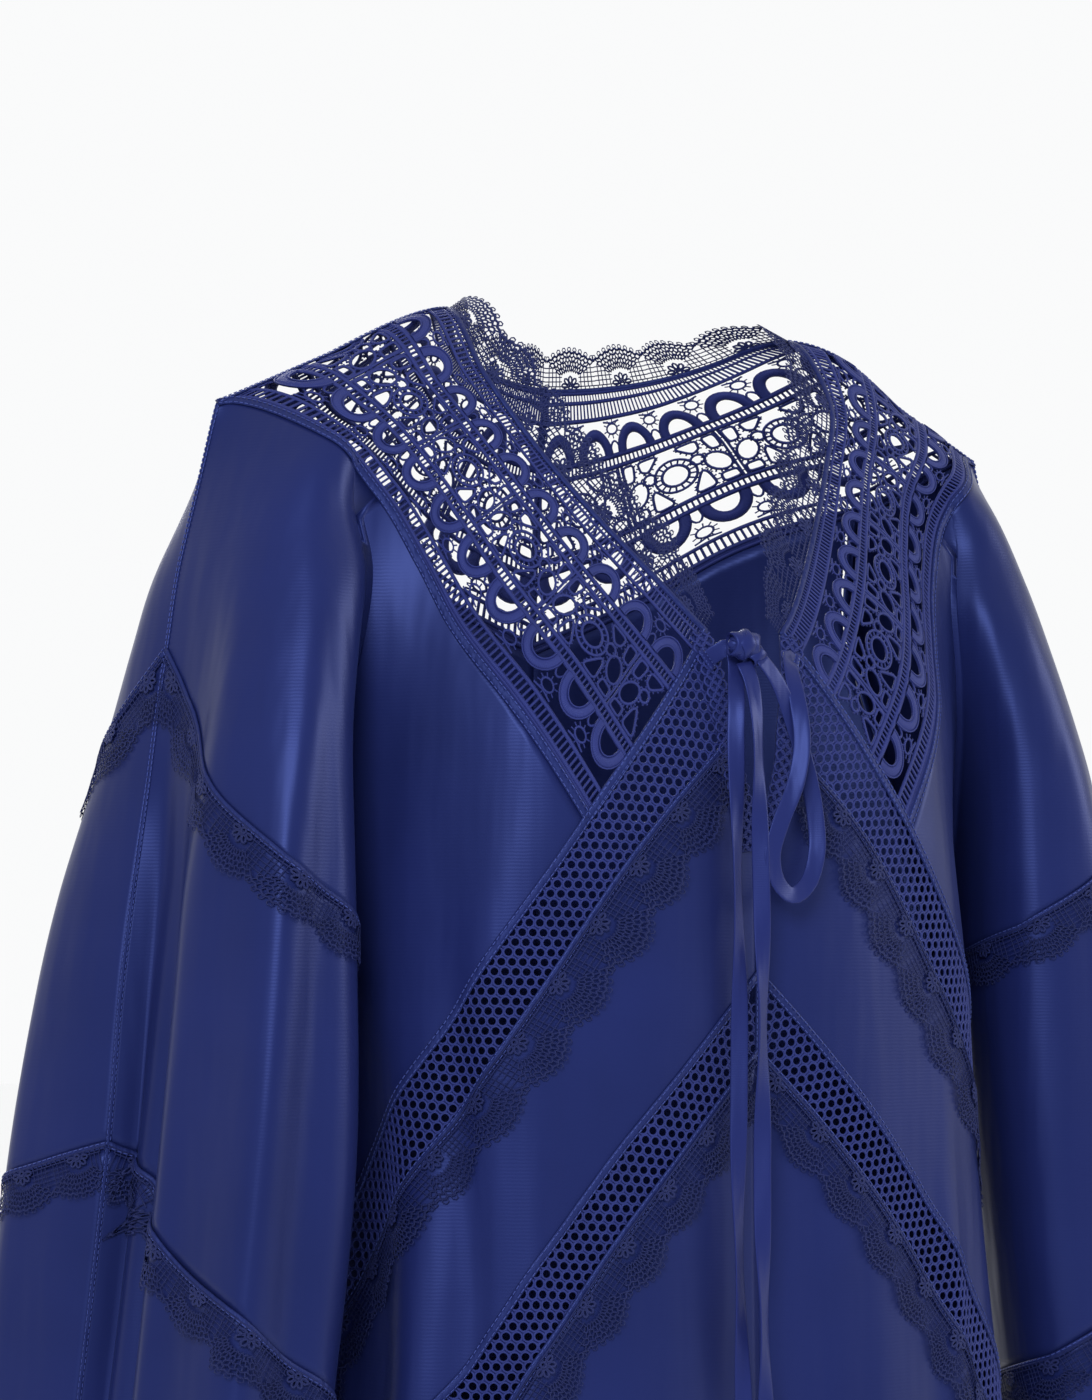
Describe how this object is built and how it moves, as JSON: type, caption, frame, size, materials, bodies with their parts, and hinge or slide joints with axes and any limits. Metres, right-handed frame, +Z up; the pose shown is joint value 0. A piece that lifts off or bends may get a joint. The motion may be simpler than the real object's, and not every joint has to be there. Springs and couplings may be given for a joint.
{
  "type": "kaftan",
  "caption": "Long-sleeved silk kaftan with lace shoulder bands, slanting net insertions, scalloped lace edgings and a ribbon tie, in its worn hollow shape.",
  "frame": {"origin": "midway between the two neck points, on the line of the shoulders, where the garment rests on its wearer", "axes": "+Z up along the wearer, the wearer faces -Y, +X towards the wearer's left"},
  "size_m": [0.7052, 0.3479, 1.3383],
  "materials": {
    "silk": "smooth silk with a soft sheen",
    "guipure": "matt corded lace",
    "netting": "matt hexagonal net",
    "edging": "matt fine scalloped lace",
    "ribbon": "silk ribbon"
  },
  "bodies": {
    "root": {"lace_band_front_right": "guipure", "lace_yoke_back_right": "guipure", "side_front_right": "silk", "back_right": "silk", "net_band_upper_right": "netting", "centre_front_right": "silk", "net_band_lower_right": "netting", "edging_net_upper_right": "edging", "edging_net_lower_right": "edging", "edging_neck_front_right": "edging", "sleeve_middle_front_right": "silk", "sleeve_middle_back_right": "silk", "sleeve_lower_front_right": "silk", "sleeve_lower_back_right": "silk", "edging_sleeve_upper_front_right": "edging", "edging_sleeve_upper_back_right": "edging", "edging_sleeve_lower_front_right": "edging", "edging_sleeve_lower_back_right": "edging", "lace_band_front_left": "guipure", "lace_yoke_back_left": "guipure", "side_front_left": "silk", "back_left": "silk", "net_band_upper_left": "netting", "centre_front_left": "silk", "net_band_lower_left": "netting", "edging_net_upper_left": "edging", "edging_net_lower_left": "edging", "edging_neck_front_left": "edging", "sleeve_middle_front_left": "silk", "sleeve_middle_back_left": "silk", "sleeve_lower_front_left": "silk", "sleeve_lower_back_left": "silk", "edging_sleeve_upper_front_left": "edging", "edging_sleeve_upper_back_left": "edging", "edging_sleeve_lower_front_left": "edging", "edging_sleeve_lower_back_left": "edging", "lower_front": "silk", "edging_neck_back": "edging", "tie_right": "ribbon", "tie_left_loop": "ribbon", "tie_left_end": "ribbon", "tie_knot": "ribbon"}
  },
  "joints": []
}
